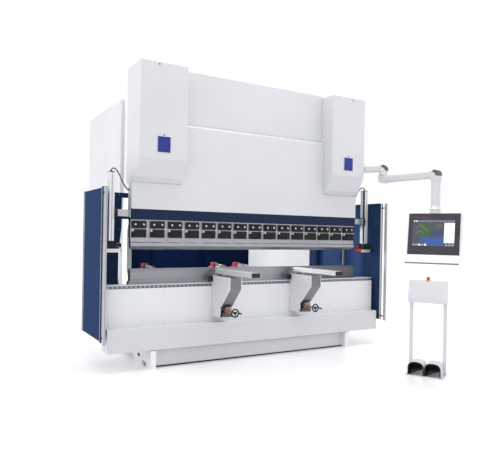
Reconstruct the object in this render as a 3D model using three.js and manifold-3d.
// A CNC press brake: two C-shaped side frames carry a bed with the lower die, and a ram with the
// upper punch, driven by two hydraulic cylinders under tall covers. Around it stand side guards,
// sheet supports, a back gauge, a swinging control panel and a foot console.
//
// Millimetres, +Z up. The machine is drawn with X = 0 at the middle of the ram, Y = 0 on the
// front of the ram cover with +Y to the rear, and Z = 0 on the floor. The group is then moved so
// that its origin is at the middle of the object's footprint.

import * as THREE from 'three';
import { mergeVertices } from 'three/addons/utils/BufferGeometryUtils.js';
import Module from 'manifold-3d';

const wasm = await Module();
wasm.setup();

// ---------------------------------------------------------------- driving dimensions

const GAP = 0.3; // clearance between touching pieces
const SHEET = 3; // thickness of folded sheet metal
const BEND_LENGTH = 3100; // working length of the tools
const TOOL_Y = 60; // plane of the punch tip and the die groove

const FRAME_INNER = 1298; // side frames, distance of each face from the middle
const FRAME_OUTER = 1358;
const FRAME_BACK = 2400;
const FRAME_TOP = 3070;
const FRAME_FRONT_UPPER = 205;
const FRAME_FRONT_LOWER = 100;
const TOE_FRONT = -130;
const TOE_TOP = 195;
const THROAT_BACK = 750;
const THROAT_BOTTOM = 930;
const THROAT_TOP = 1550;

const BED_TOP = 890;
const BED_HALF = 1820;
const COVER_HALF = 1828;
const PLATE_FRONT = -35;
const PLATE_TOP = 850;
const APRON_FRONT = -136;
const APRON_BOTTOM = 204;
const APRON_TOP = 446;
const RAIL_TOP = 880;
const DIE_HOLDER_TOP = 925;
const DIE_TOP = 1056;

const PUNCH_TIP = 1262;
const PUNCH_TOP = 1385;
const CLAMP_TOP = 1583.7;
const CLAMP_COUNT = 15;
const CLAMP_PITCH = 208;
const CLAMP_WIDTH = 154;
const RAM_BOTTOM = 1584;
const RAM_COVER_BOTTOM = 1696;
const RAM_SHOULDER = 1978;
const RAM_MIDDLE_HALF = 998;
const RAM_TOP = 2666;
const RAM_BACK = 118;

const TOWER_INNER = 1000;
const TOWER_OUTER = 1534;
const TOWER_FRONT = -167;
const TOWER_BACK = 262;
const TOWER_TOP = 3240;
const CYLINDER_X = 1267;
const CYLINDER_BOTTOM = 2250;
const CYLINDER_TOP = 3110;

const GUARD_X = 1887;
const GUARD_BOTTOM = 330;
const GUARD_TOP = 1900;
const POST_X = 1759;
const POST_HALF = 27;

const SUPPORT_X = 540; // distance of each sheet support from the middle
const FINGER_X = [-1155, -219, 105];

const ELBOW_1 = new THREE.Vector3(1729, -327, 0);
const ELBOW_2 = new THREE.Vector3(1818, -1112, 0);
const PANEL_YAW = THREE.MathUtils.degToRad(-58.8);
const PANEL_TILT = THREE.MathUtils.degToRad(-11.5);
const CONSOLE = new THREE.Vector3(1037, -1668, 0);

const FOOTPRINT_MIDDLE = new THREE.Vector3(57.5, 321.6, 0);

// ---------------------------------------------------------------- materials

function finish(color, roughness, metalness) {
  return new THREE.MeshStandardMaterial({ color, roughness, metalness });
}

const white = finish(0xe4e6ec, 0.4, 0.1);
const lavender = finish(0xd9dae6, 0.4, 0.1);
const blue = finish(0x284068, 0.45, 0.1);
const navy = finish(0x192c4e, 0.45, 0.1);
const emblemBlue = finish(0x2d3ca0, 0.3, 0.1);
const steel = finish(0xaeb0b4, 0.35, 0.9);
const darkSteel = finish(0x5a5d62, 0.5, 0.8);
const aluminium = finish(0xc3c6ca, 0.4, 0.9);
const grey = finish(0xa9abb0, 0.5, 0.2);
const black = finish(0x1c1c1f, 0.55, 0.1);
const red = finish(0x961e2d, 0.45, 0.1);

// ---------------------------------------------------------------- shapes

/** A box from three [lowest, highest] pairs, given in either order. */
function box(x, y, z) {
  const spans = [x, y, z].map((pair) => [Math.min(...pair), Math.max(...pair)]);
  const size = spans.map(([low, high]) => high - low);
  const middle = spans.map(([low, high]) => (low + high) / 2);
  return new THREE.BoxGeometry(...size).translate(...middle);
}

/** A closed outline of [a, b] or [a, b, radius] corners; a corner with a radius is rounded. */
function outline(corners) {
  const shape = new THREE.Shape();
  corners.forEach(([a, b, radius = 0], i) => {
    const corner = new THREE.Vector2(a, b);
    const before = new THREE.Vector2(...corners.at(i - 1).slice(0, 2));
    const after = new THREE.Vector2(...corners[(i + 1) % corners.length].slice(0, 2));
    const enter = corner.clone().add(before.sub(corner).setLength(radius));
    const leave = corner.clone().add(after.sub(corner).setLength(radius));
    if (i === 0) shape.moveTo(enter.x, enter.y);
    else shape.lineTo(enter.x, enter.y);
    if (radius > 0) shape.quadraticCurveTo(corner.x, corner.y, leave.x, leave.y);
  });
  shape.closePath();
  return shape;
}

function extrude(corners, depth) {
  const options = { depth, bevelEnabled: false, curveSegments: 4 };
  return new THREE.ExtrudeGeometry(outline(corners), options);
}

/** Extrudes a (Y, Z) outline from x0 to x1. */
function alongX(corners, x0, x1) {
  const turn = new THREE.Matrix4().makeBasis(
    new THREE.Vector3(0, 1, 0),
    new THREE.Vector3(0, 0, 1),
    new THREE.Vector3(1, 0, 0),
  );
  const [low, high] = [Math.min(x0, x1), Math.max(x0, x1)];
  return extrude(corners, high - low).applyMatrix4(turn).translate(low, 0, 0);
}

/** Extrudes an (X, Z) outline from y0 to y1. */
function alongY(corners, y0, y1) {
  return extrude(corners, y1 - y0).rotateX(Math.PI / 2).translate(0, y1, 0);
}

/** A cylinder between two points. */
function rod(radius, from, to, segments = 16) {
  const start = new THREE.Vector3(...from);
  const axis = new THREE.Vector3(...to).sub(start);
  const turn = new THREE.Quaternion().setFromUnitVectors(
    new THREE.Vector3(0, 1, 0),
    axis.clone().normalize(),
  );
  const middle = start.clone().addScaledVector(axis, 0.5);
  return new THREE.CylinderGeometry(radius, radius, axis.length(), segments)
    .applyQuaternion(turn)
    .translate(middle.x, middle.y, middle.z);
}

/** A body of revolution about a vertical axis; the profile is (radius, Z) and closes on itself. */
function turned(profile, x, y, segments = 20) {
  const points = profile.map(([radius, z]) => new THREE.Vector2(radius, z));
  points.push(points[0].clone());
  return new THREE.LatheGeometry(points, segments).rotateX(Math.PI / 2).translate(x, y, 0);
}

/** A round tube along a smooth curve through the points. */
function tube(points, radius, steps) {
  const path = new THREE.CatmullRomCurve3(points.map((point) => new THREE.Vector3(...point)));
  const section = new THREE.Shape().absarc(0, 0, radius, 0, 2 * Math.PI);
  const options = { steps, extrudePath: path, bevelEnabled: false, curveSegments: 8 };
  return new THREE.ExtrudeGeometry(section, options);
}

// ---------------------------------------------------------------- joining and cutting

function toSolid(geometry) {
  const plain = geometry.clone();
  plain.deleteAttribute('normal');
  plain.deleteAttribute('uv');
  const merged = mergeVertices(plain, 1e-3);
  const vertProperties = new Float32Array(merged.attributes.position.array);
  const triVerts = new Uint32Array(merged.index.array);
  return new wasm.Manifold(new wasm.Mesh({ numProp: 3, vertProperties, triVerts }));
}

function toGeometry(solid) {
  const { vertProperties, triVerts } = solid.getMesh();
  const geometry = new THREE.BufferGeometry();
  geometry.setAttribute('position', new THREE.BufferAttribute(vertProperties, 3));
  geometry.setIndex(new THREE.BufferAttribute(triVerts, 1));
  geometry.computeVertexNormals();
  return geometry;
}

function join(...pieces) {
  return toGeometry(pieces.map(toSolid).reduce((whole, piece) => whole.add(piece)));
}

function cut(base, ...tools) {
  return toGeometry(tools.map(toSolid).reduce((whole, tool) => whole.subtract(tool), toSolid(base)));
}

/** A shallow sheet-metal tray: a box hollowed out from the face that looks along axis * sign. */
function tray(x, y, z, axis, sign, wall = SHEET) {
  const inner = [x, y, z].map((pair, i) => {
    const [low, high] = [Math.min(...pair), Math.max(...pair)];
    if (i !== axis) return [low + wall, high - wall];
    return sign > 0 ? [low + wall, high + wall] : [low - wall, high - wall];
  });
  return cut(box(x, y, z), box(...inner));
}

// ---------------------------------------------------------------- assembly

const machine = new THREE.Group();
machine.position.copy(FOOTPRINT_MIDDLE).negate();

function part(name, geometry, material, parent = machine) {
  const mesh = new THREE.Mesh(geometry, material);
  mesh.name = name;
  parent.add(mesh);
  return mesh;
}

/** Calls build once for each side: 'left' with side = -1 and 'right' with side = 1. */
function bothSides(build) {
  build('left', -1);
  build('right', 1);
}

// ---------------------------------------------------------------- side frames

function sideFrames() {
  const plate = [
    [TOE_FRONT, 0], [20, 0], [20, 50], [140, 50], [140, 0], [420, 0], [470, 60],
    [1900, 60], [1950, 0], [FRAME_BACK, 0], [FRAME_BACK, FRAME_TOP],
    [FRAME_FRONT_UPPER, FRAME_TOP], [FRAME_FRONT_UPPER, THROAT_TOP],
    [THROAT_BACK, THROAT_TOP, 90], [THROAT_BACK, THROAT_BOTTOM, 90],
    [FRAME_FRONT_LOWER, THROAT_BOTTOM], [FRAME_FRONT_LOWER, TOE_TOP], [TOE_FRONT, TOE_TOP],
  ];
  bothSides((side, sign) => {
    part(`${side}_side_frame`, alongX(plate, sign * FRAME_INNER, sign * FRAME_OUTER), white);
  });

  const back = [FRAME_BACK + GAP, FRAME_BACK + 32];
  const doorHalf = 430;
  const height = [70, FRAME_TOP - 10];
  const seam = doorHalf + 3;
  part('rear_left_panel', tray([-FRAME_OUTER, -seam], back, height, 1, -1), navy);
  part('rear_right_panel', tray([seam, FRAME_OUTER], back, height, 1, -1), navy);
  part('rear_door', rearDoor(doorHalf, back, height), navy);

  const coverSpan = [-FRAME_OUTER - GAP, -FRAME_OUTER - 42];
  const cover = tray(coverSpan, [926, FRAME_BACK + 32], [330, FRAME_TOP], 0, 1);
  part('left_side_cover', cover, lavender);
}

/** The middle panel of the rear wall, with its pull handle. */
function rearDoor(half, [front, back], [bottom, top]) {
  const leaf = tray([-half, half], [front, back], [bottom, top], 1, -1);
  const grip = box([330, 350], [back + 30, back + 50], [1250, 1450]);
  const feet = [1260, 1420].map((z) => box([330, 350], [back - 2, back + 35], [z, z + 20]));
  return join(leaf, grip, ...feet);
}

// ---------------------------------------------------------------- bed

function bed() {
  const railSeat = -10;
  const beam = join(
    box([-BED_HALF, BED_HALF], [PLATE_FRONT + SHEET + GAP, 90], [TOE_TOP + 5, PLATE_TOP]),
    box([-BED_HALF, BED_HALF], [railSeat, 90], [PLATE_TOP - 1, BED_TOP]),
    box([-BED_HALF, BED_HALF], [PLATE_FRONT, railSeat + 1], [RAIL_TOP + GAP, BED_TOP]),
  );
  part('bed_beam', beam, white);
  const rail = [
    [railSeat - GAP, PLATE_TOP + GAP], [railSeat - GAP, RAIL_TOP], [-33, RAIL_TOP],
    [-33, 872], [-26, 868], [-26, 862], [-33, 858], [-33, PLATE_TOP + GAP],
  ];
  part('support_rail', alongX(rail, -BED_HALF, BED_HALF), darkSteel);

  // One folded sheet: plate, ledge, apron and its returned lower lip, with closed ends.
  const fold = [
    [PLATE_FRONT, PLATE_TOP], [PLATE_FRONT, APRON_TOP + SHEET], [APRON_FRONT, APRON_TOP + SHEET],
    [APRON_FRONT, APRON_BOTTOM], [APRON_FRONT + 40, APRON_BOTTOM],
    [APRON_FRONT + 40, APRON_BOTTOM + SHEET], [APRON_FRONT + SHEET, APRON_BOTTOM + SHEET],
    [APRON_FRONT + SHEET, APRON_TOP], [PLATE_FRONT + SHEET, APRON_TOP],
    [PLATE_FRONT + SHEET, PLATE_TOP],
  ];
  const ends = [-1, 1].map((sign) => box(
    [sign * (COVER_HALF - 1), sign * (COVER_HALF - 1 - SHEET)],
    [APRON_FRONT + 1, PLATE_FRONT + 1],
    [APRON_BOTTOM + 1, APRON_TOP + 1],
  ));
  part('bed_front_cover', join(alongX(fold, -COVER_HALF, COVER_HALF), ...ends), white);

  const kick = [-52, -49];
  part('kick_panel', box([GAP - FRAME_INNER, FRAME_INNER - GAP], kick, [6, 201]), white);

  const holder = [[14, BED_TOP + GAP], [14, 905], [24, 910], [24, DIE_HOLDER_TOP],
    [86, DIE_HOLDER_TOP], [86, 910], [96, 905], [96, BED_TOP + GAP]];
  const half = BEND_LENGTH / 2;
  part('die_holder', alongX(holder, -half - 15, half + 15), steel);

  const groove = { half: 15, depth: 26 };
  const base = DIE_HOLDER_TOP + GAP;
  const die = [
    [22, base], [22, 938], [25, 941], [22, 944], [22, 1036], [25, 1039], [22, 1042], [22, DIE_TOP],
    [TOOL_Y - groove.half, DIE_TOP], [TOOL_Y, DIE_TOP - groove.depth],
    [TOOL_Y + groove.half, DIE_TOP], [96, DIE_TOP], [96, base],
  ];
  part('lower_die', alongX(die, -half, half), steel);
}

// ---------------------------------------------------------------- covers and drive

/** A tall cover, open at the back and below, folded in towards the ram at its foot. */
function cylinderCover(sign) {
  const side = (inset, top) => [
    [TOWER_BACK + inset, RAM_SHOULDER + 1.5 - inset], [TOWER_BACK + inset, top],
    [TOWER_FRONT + inset, top], [TOWER_FRONT + inset, 2225], [-66 + inset, 2037],
    [inset, RAM_SHOULDER + 1.5 - inset],
  ];
  const inner = sign * (TOWER_INNER + SHEET);
  const outer = sign * (TOWER_OUTER - SHEET);
  return cut(
    alongX(side(0, TOWER_TOP), sign * TOWER_INNER, sign * TOWER_OUTER),
    alongX(side(SHEET, TOWER_TOP - SHEET), inner, outer),
  );
}

/** Cylinder barrel with its bore and the gland at its lower end. */
function barrel() {
  const profile = [
    [58, CYLINDER_BOTTOM], [130, CYLINDER_BOTTOM], [130, CYLINDER_TOP - 60],
    [80, CYLINDER_TOP - 60], [80, CYLINDER_TOP], [0, CYLINDER_TOP], [0, CYLINDER_TOP - 90],
    [92, CYLINDER_TOP - 90], [92, CYLINDER_BOTTOM + 70], [58, CYLINDER_BOTTOM + 70],
  ];
  return profile;
}

function coversAndDrive() {
  bothSides((side, sign) => {
    part(`${side}_cylinder_cover`, cylinderCover(sign), white);
    part(`${side}_cylinder`, turned(barrel(), sign * CYLINDER_X, TOOL_Y), darkSteel);
    const plateFront = [TOWER_FRONT - 6, TOWER_FRONT - GAP];
    const x = sign * CYLINDER_X;
    part(`${side}_emblem_plate`, box([x - 76, x + 76], plateFront, [2290, 2465]), emblemBlue);
  });

  const half = TOWER_INNER - GAP;
  const bottom = RAM_TOP + 1.5;
  const top = TOWER_TOP + 22;
  const front = 50;
  const lip = front + 75;
  const panel = [
    [front, bottom], [front, top], [lip, top], [lip, top - SHEET], [front + SHEET, top - SHEET],
    [front + SHEET, bottom + SHEET], [lip, bottom + SHEET], [lip, bottom],
  ];
  part('upper_front_panel', alongX(panel, -half, half), white);

  const tankHalf = FRAME_INNER - GAP;
  part('oil_tank', oilTank(tankHalf), white);
  const motor = [[0, 2950 + GAP], [150, 2950 + GAP], [150, 2975], [115, 2985], [115, 3160],
    [90, 3190], [0, 3190]];
  part('pump_motor', turned(motor, 320, 800), darkSteel);
}

/** The tank is also the cross-member that ties the side frames together. */
function oilTank(half) {
  const body = [[420, 2500, 30], [1150, 2420, 30], [1150, 2950, 30], [420, 2950, 30]];
  const wall = 10;
  const inside = box([wall - half, half - wall], [420 + wall, 1150 - wall], [2512, 2950 - wall]);
  const filler = rod(45, [-420, 800, 2935], [-420, 800, 3010]);
  const neck = rod(36, [-420, 800, 2900], [-420, 800, 3020]);
  return cut(join(cut(alongX(body, -half, half), inside), filler), neck);
}

// ---------------------------------------------------------------- ram

function ram() {
  const half = BEND_LENGTH / 2;
  const front = 8;
  const body = [
    [-half, RAM_BOTTOM], [half, RAM_BOTTOM], [half, RAM_SHOULDER], [RAM_MIDDLE_HALF, RAM_SHOULDER],
    [RAM_MIDDLE_HALF, 2590], [-RAM_MIDDLE_HALF, 2590], [-RAM_MIDDLE_HALF, RAM_SHOULDER],
    [-half, RAM_SHOULDER],
  ];
  part('ram_beam', alongY(body, front, RAM_BACK), navy);

  // Folded sheet in front of the ram, with its top edge rolled back over the beam.
  const roll = 58;
  const sheet = front - GAP - SHEET;
  const middle = alongX([
    [sheet, RAM_COVER_BOTTOM], [sheet, RAM_TOP, roll], [sheet + roll + 30, RAM_TOP],
    [sheet + roll + 30, RAM_TOP - SHEET], [sheet + SHEET, RAM_TOP - SHEET, roll - SHEET],
    [sheet + SHEET, RAM_COVER_BOTTOM],
  ], -RAM_MIDDLE_HALF, RAM_MIDDLE_HALF);
  const shoulder = box([-half, half], [sheet, sheet + SHEET], [RAM_COVER_BOTTOM, RAM_SHOULDER]);
  const ends = [-1, 1].map((sign) => box(
    [sign * (half + GAP), sign * (half + GAP + SHEET)],
    [sheet, RAM_BACK],
    [RAM_COVER_BOTTOM, RAM_SHOULDER],
  ));
  const corners = [-1, 1].map((sign) => box(
    [sign * (half - 1), sign * (half + GAP + SHEET)],
    [sheet, sheet + SHEET],
    [RAM_COVER_BOTTOM, RAM_SHOULDER],
  ));
  part('ram_cover', join(middle, shoulder, ...ends, ...corners), white);

  bothSides((side, sign) => {
    const start = RAM_SHOULDER + GAP;
    const piston = [
      [0, start], [55, start], [55, 2600], [90, 2600], [90, 2690], [0, 2690],
    ];
    part(`${side}_piston_rod`, turned(piston, sign * CYLINDER_X, TOOL_Y), steel);
  });
}

/** Upper tool holder: a continuous backing with two clamp blocks at every station. */
function punchClamps() {
  const half = BEND_LENGTH / 2;
  const backing = [[46, 1389], [46, 1478], [30, 1478], [30, 1486], [46, 1486], [46, 1570],
    [30, 1570], [30, CLAMP_TOP], [108, CLAMP_TOP], [108, 1389]];
  const blocks = [];
  for (let i = 0; i < CLAMP_COUNT; i += 1) {
    const x = (i - (CLAMP_COUNT - 1) / 2) * CLAMP_PITCH;
    const width = [x - CLAMP_WIDTH / 2, x + CLAMP_WIDTH / 2];
    blocks.push(box(width, [14, 47], [1493, 1563]));
    blocks.push(box(width, [18, 47], [1391, 1471]));
  }
  return join(alongX(backing, -half, half), ...blocks);
}

function tools() {
  const half = BEND_LENGTH / 2;
  part('punch_clamps', punchClamps(), black);
  const top = PUNCH_TOP + 3.7;
  const punch = [
    [34, top], [34, 1340], [24, 1332], [24, 1300], [TOOL_Y - 3, PUNCH_TIP], [TOOL_Y + 3, PUNCH_TIP],
    [78, 1295], [92, 1340], [92, top],
  ];
  part('upper_punch', alongX(punch, -half, half), steel);
}

// ---------------------------------------------------------------- laser guarding on the ram

function laserGuarding() {
  const ramEnd = BEND_LENGTH / 2 + SHEET + 2 * GAP;
  bothSides((side, sign) => {
    const post = [POST_X - POST_HALF, POST_X + POST_HALF].map((x) => sign * x);
    const bracket = join(
      box([sign * ramEnd, sign * (ramEnd + 10)], [20, 100], [1600, 1692]),
      box([sign * ramEnd, post[0] - sign * 8.3], [45, 75], [1612, 1684]),
      box([post[0] - sign * 24, post[0] - sign * GAP], [10, 110], [1606, 1690]),
    );
    part(`${side}_laser_bracket`, bracket, steel);

    const column = box(post, [15, 105], [1350, 2077]);
    const neck = box([sign * (POST_X - 12), sign * (POST_X + 12)], [40, 80], [1330, 1352]);
    const head = box([sign * (POST_X - 113), sign * (POST_X + 100)], [10, 110], [1273, 1335]);
    const foot = box([sign * (POST_X - 110), sign * (POST_X + 95)], [20, 100], [1228, 1275]);
    part(`${side}_laser_post`, join(column, neck, head, foot), aluminium);

    const top = [POST_X, 60, 2078];
    const cable = [
      top, [POST_X, 60, 2096], [POST_X - 20, 64, 2114], [POST_X - 55, 74, 2106],
      [POST_X - 98, 88, 2050], [POST_X - 138, 100, 1975], [1590, 105, 1930], [1572, 105, 1908],
      [ramEnd + 8, 105, 1902], [ramEnd + GAP, 105, 1902],
    ].map(([x, y, z]) => [sign * x, y, z]);
    part(`${side}_laser_cable`, tube(cable, 8, 26), black);
  });
}

// ---------------------------------------------------------------- side guards

/** Fixed panel facing the front, its rim reaching in over the ram end, and its frame brackets. */
function infillPanel(sign) {
  const x = (values) => values.map(([a, z, r]) => [sign * a, z, r]);
  const sheet = x([
    [GUARD_X - 26, GUARD_BOTTOM], [GUARD_X - 26, 1905], [1383, 1905], [1383, 1857], [1467, 1857],
    [1467, 1500], [1498, 1200], [1498, 900], [1467, 700], [1467, GUARD_BOTTOM],
  ]);
  const arms = [420, 760, 1600, 1850].map((z) => box(
    [sign * (FRAME_OUTER + GAP), sign * 1560],
    [640, 670],
    [z, z + 40],
  ));
  const rim = box([sign * (GUARD_X - 29), sign * (GUARD_X - 26)], [620, 660], [GUARD_BOTTOM, 1905]);
  // On the right a folded sheet closes the gap in front of the electrical cabinet.
  const closing = sign < 0 ? [] : [
    box([1500, 1503], [636, 738], [702, 1498]),
    box([FRAME_OUTER + GAP, 1503], [735, 738], [702, 1498]),
  ];
  return join(alongY(sheet, 620, 641), rim, ...arms, ...closing);
}

function guards() {
  bothSides((side, sign) => {
    part(`${side}_infill_panel`, infillPanel(sign), blue);

    const leaf = [sign * (GUARD_X - 12), sign * (GUARD_X + 12)];
    const door = join(
      tray(leaf, [-141, 600], [GUARD_BOTTOM, GUARD_TOP], 0, -sign),
      box([sign * (GUARD_X - 20), sign * (GUARD_X + 16)], [-150, -130], [GUARD_BOTTOM, GUARD_TOP]),
      box([sign * (GUARD_X - 16), sign * (GUARD_X + 16)], [590, 616], [GUARD_BOTTOM, GUARD_TOP]),
    );
    part(`${side}_guard_door`, door, blue);

    const bar = box([sign * (GUARD_X - 11), sign * (GUARD_X + 11)], [-244, -214], [326, 1893]);
    const standoffs = [370, 1826].map((z) => box(
      [sign * (GUARD_X - 8), sign * (GUARD_X + 8)],
      [-216, -150 - GAP],
      [z, z + 20],
    ));
    part(`${side}_guard_handle`, join(bar, ...standoffs), aluminium);
  });
}

// ---------------------------------------------------------------- sheet supports

/** Bracket that hangs on the rail: a deep nose above a stepped-back gearbox, with a lift shaft. */
function supportBracket() {
  const back = PLATE_FRONT - 3;
  const profile = [
    [back, 974, 6], [-474, 974, 10], [-474, 843, 20], [-305, 666, 20], [-305, 518, 12],
    [back, 518, 6],
  ];
  const wall = 8;
  const inside = [
    [back + wall, 974 - wall], [wall - 474, 974 - wall], [wall - 474, 846], [wall - 305, 669],
    [wall - 305, 518 + wall], [back + wall, 518 + wall],
  ];
  const shaft = box([-34, 34], [-214, -126], [960, 980]);
  const window = box([-50, 50], [back - 2, back + wall + 2], [560, 800]);
  return cut(alongX(profile, -75, 75), alongX(inside, wall - 75, 75 - wall), shaft, window);
}

function supportArm() {
  const bar = [
    [-60, 1006], [-60, 1050], [-868, 1050], [-868, 1046], [-880, 1046], [-890, 1036],
    [-890, 1010], [-884, 1003], [-60, 1003],
  ];
  const slot = (x) => box([x - 4, x + 4], [-860, -61], [1044, 1051]);
  const column = box([-31, 31], [-211, -129], [660, 1006]);
  return join(cut(alongX(bar, -47, 47), slot(-22), slot(22)), column);
}

function handwheel() {
  const [x, z] = [0, 592];
  const rim = rod(50, [x, -478, z], [x, -458, z], 20);
  const hub = rod(16, [x, -484, z], [x, -305 - GAP, z], 12);
  const crank = rod(9, [x + 38, -540, z], [x + 38, -470, z], 10);
  return join(rim, hub, crank);
}

function sheetSupports() {
  bothSides((side, sign) => {
    const support = new THREE.Group();
    support.position.x = sign * SUPPORT_X;
    machine.add(support);
    part(`${side}_support_bracket`, supportBracket(), grey, support);
    part(`${side}_support_arm`, supportArm(), aluminium, support);
    part(`${side}_handwheel`, handwheel(), black, support);
  });
}

// ---------------------------------------------------------------- back gauge

function backGauge() {
  const tracks = [-700, 700];
  const base = join(
    ...tracks.map((x) => box([x - 50, x + 50], [90 + GAP, 1500], [620, 700])),
    box([GAP - FRAME_INNER, FRAME_INNER - GAP], [1400, 1480], [560, 640]),
  );
  part('back_gauge_base', base, darkSteel);

  const carriage = join(
    ...tracks.map((x) => box([x - 70, x + 70], [700, 920], [700 + GAP, 760])),
    ...tracks.map((x) => box([x - 40, x + 40], [790, 870], [755, 1000])),
    box([-770, 770], [795, 880], [750, 820]),
  );
  part('back_gauge_carriage', carriage, darkSteel);

  const beam = join(
    box([-1240, 1240], [700, 760], [900, 980]),
    ...tracks.map((x) => box([x - 60, x + 60], [755, 789], [815, 978])),
  );
  part('back_gauge_beam', beam, aluminium);

  FINGER_X.forEach((x, i) => {
    const finger = join(
      box([x - 45, x + 45], [640, 770], [980 + GAP, 1030]),
      box([x - 32, x + 32], [628, 740], [1028, 1076]),
      box([x - 18, x + 18], [392, 640], [1034, 1066]),
    );
    part(`gauge_finger_${i + 1}`, finger, red);
  });
}

// ---------------------------------------------------------------- control panel on its arm

/** Fixed bracket on the right-hand cover, ending in the bearing of the first elbow. */
function pendantBase() {
  const z = 2340;
  const start = [TOWER_OUTER + 50, -110];
  const away = new THREE.Vector2(ELBOW_1.x - start[0], ELBOW_1.y - start[1]);
  const beam = box([0, away.length()], [-40, 40], [-40, 40])
    .rotateZ(away.angle())
    .translate(start[0], start[1], z);
  const flange = box([TOWER_OUTER + GAP, TOWER_OUTER + 16], [-163, -37], [2270, 2410]);
  const root = box([TOWER_OUTER + 14, TOWER_OUTER + 90], [-150, -70], [2300, 2380]);
  const bearing = rod(56, [ELBOW_1.x, ELBOW_1.y, 2258], [ELBOW_1.x, ELBOW_1.y, 2396], 20);
  return join(beam, flange, root, bearing);
}

/** Swinging arm: lower half of the first elbow, square tube, second elbow and hanging post. */
function pendantArm() {
  const away = new THREE.Vector2(ELBOW_2.x - ELBOW_1.x, ELBOW_2.y - ELBOW_1.y);
  const beam = box([0, away.length()], [-40, 40], [2150, 2250])
    .rotateZ(away.angle())
    .translate(ELBOW_1.x, ELBOW_1.y, 0);
  const first = rod(60, [ELBOW_1.x, ELBOW_1.y, 2140], [ELBOW_1.x, ELBOW_1.y, 2258 - GAP], 20);
  const second = rod(60, [ELBOW_2.x, ELBOW_2.y, 2130], [ELBOW_2.x, ELBOW_2.y, 2262], 20);
  const post = rod(48, [ELBOW_2.x, ELBOW_2.y, 1780], [ELBOW_2.x, ELBOW_2.y, 2135], 20);
  return join(beam, first, second, post);
}

/** Housing leaning back under its swivel, with a keyboard tray along the lower edge. */
function controlPanel() {
  const leaning = (geometry) => geometry.rotateX(PANEL_TILT).translate(0, 0, 1730);
  const height = 508;
  const housing = [
    [-45, 0, 8], [-45, -height, 8], [55, -height, 14], [75, -height / 2], [55, 0, 14],
  ];
  const shelf = [
    [-60, -height - 4], [-110, -height - 104, 5], [-98, -height - 112, 5], [20, -height - 60],
    [20, -height + 6], [-60, -height + 6],
  ];
  return join(
    leaning(alongX(housing, -300, 300)),
    leaning(alongX(shelf, -300, 300)),
    rod(52, [0, 0, 1745], [0, 0, 1780 - GAP], 20),
    rod(34, [0, 0, 1700], [0, 0, 1750], 16),
  );
}

function pendant() {
  part('pendant_base', pendantBase(), white);
  part('pendant_arm', pendantArm(), white);
  const hanging = new THREE.Group();
  hanging.position.copy(ELBOW_2);
  hanging.rotation.z = PANEL_YAW;
  machine.add(hanging);
  part('control_panel', controlPanel(), black, hanging);
}

// ---------------------------------------------------------------- foot console

const CONSOLE_HALF = 190;
const CONSOLE_TOP = 985;
const POST_WIDTH = 34;
const PEDAL_X = 84;
const HOOD_HALF = 82;
const HOOD_FRONT = -10;
const HOOD_BACK = 161;

/** Base plate, two flat side posts, head box with a sloping front, and the two pedal hoods. */
function footConsole() {
  const head = [
    [120, 752, 6], [62, 758, 6], [62, 812, 4], [118, CONSOLE_TOP, 8], [235, CONSOLE_TOP, 8],
    [235, 752, 6],
  ];
  const posts = [-1, 1].map((sign) => box(
    [sign * CONSOLE_HALF, sign * (CONSOLE_HALF - POST_WIDTH)],
    [HOOD_BACK + 4, HOOD_BACK + 4 + POST_WIDTH],
    [4, 760],
  ));
  const hoods = [-PEDAL_X, PEDAL_X].map(pedalHood);
  const inside = [[123, 740], [66, 740], [66, 813], [121, 981], [231, 981], [231, 740]];
  const inner = CONSOLE_HALF - SHEET;
  return join(
    box([-CONSOLE_HALF, CONSOLE_HALF], [HOOD_FRONT - 6, HOOD_BACK + 123], [0, 10]),
    cut(alongX(head, -CONSOLE_HALF, CONSOLE_HALF), alongX(inside, -inner, inner)),
    ...posts,
    ...hoods,
  );
}

/** Arched hood, open to the front, over one pedal. */
function pedalHood(x) {
  const arch = (half, bottom, top, radius) => [
    [x - half, bottom], [x - half, top, radius], [x, top + 4, 20], [x + half, top, radius],
    [x + half, bottom],
  ];
  return cut(
    alongY(arch(HOOD_HALF, 8, 146, 60), HOOD_FRONT, HOOD_BACK),
    alongY(arch(HOOD_HALF - 6, 12, 140, 56), HOOD_FRONT - 6, HOOD_BACK - 8),
  );
}

function pedal(x) {
  const tread = [[2, 34], [2, 46], [126, 72], [148, 66], [148, 48], [130, 46]];
  const pivot = rod(8, [x - 70, 140, 57], [x + 70, 140, 57], 10);
  return join(alongX(tread, x - 60, x + 60), pivot);
}

/** Mushroom button on the top of the head box. */
function emergencyStop() {
  const button = [[0, 6], [14, 6], [14, 22], [21, 25], [21, 36], [14, 40], [0, 40]];
  return turned(button, 0, 152).translate(0, 0, CONSOLE_TOP);
}

function operatorConsole() {
  const stand = new THREE.Group();
  stand.position.copy(CONSOLE);
  stand.rotation.z = PANEL_YAW;
  machine.add(stand);
  part('foot_console', footConsole(), white, stand);
  part('left_pedal', pedal(-PEDAL_X), black, stand);
  part('right_pedal', pedal(PEDAL_X), black, stand);
  part('emergency_stop', emergencyStop(), red, stand);
}

// ---------------------------------------------------------------- electrical cabinet

function electricalCabinet() {
  const x = [FRAME_OUTER + GAP, 1730];
  const front = 780;
  const doorSpan = [1733, 1753];
  part('electrical_cabinet', cut(
    box(x, [front, 1700], [420, 1960]),
    box([x[0] + 12, x[1] + 10], [front + 12, 1688], [432, 1948]),
  ), white);
  const leaf = box(doorSpan, [front, 1700], [420, 1960]);
  const grip = box([doorSpan[1] - 2, doorSpan[1] + 22], [front + 60, front + 85], [1150, 1290]);
  part('cabinet_door', join(leaf, grip), white);
}

sideFrames();
bed();
coversAndDrive();
ram();
tools();
laserGuarding();
guards();
sheetSupports();
backGauge();
pendant();
operatorConsole();
electricalCabinet();

export default machine;
